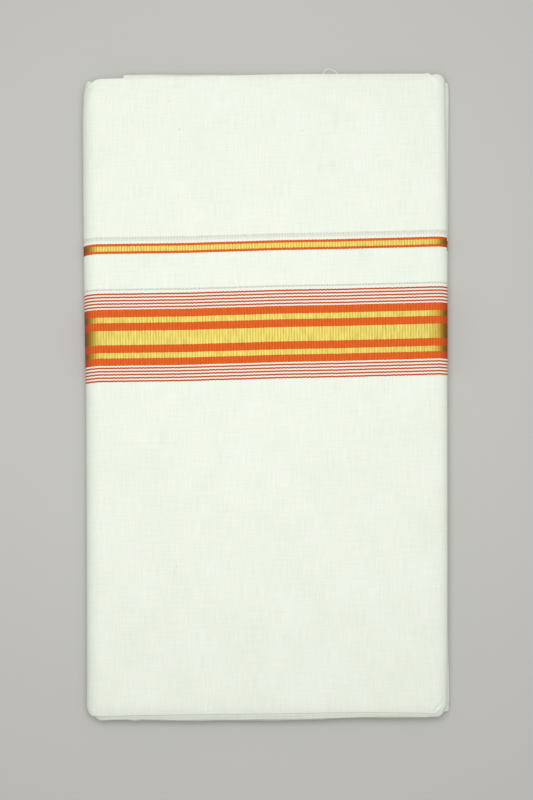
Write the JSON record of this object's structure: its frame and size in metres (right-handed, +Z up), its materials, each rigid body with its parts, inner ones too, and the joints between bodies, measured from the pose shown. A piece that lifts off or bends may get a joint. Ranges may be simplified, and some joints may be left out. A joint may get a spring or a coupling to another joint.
{
  "type": "folded cotton dhoti",
  "caption": "White cotton dhoti cloth with woven gold and orange borders, folded into a flat oblong pack that lies on its underside.",
  "frame": {"origin": "centre of the pack's bounding box, on the surface that the pack lies on", "axes": "+Z up out of the pack's face, +Y along its long side towards the end nearer the border, +X towards the open side opposite the spine fold"},
  "size_m": [0.2316, 0.4064, 0.017],
  "materials": {
    "outer_layer": "plain woven white cotton with woven orange and gold border stripes",
    "hidden_layers": "plain woven white cotton, seen at the fold edges"
  },
  "bodies": {
    "root": {"outer_layer": "outer_layer", "hidden_layers": "hidden_layers"}
  },
  "joints": []
}
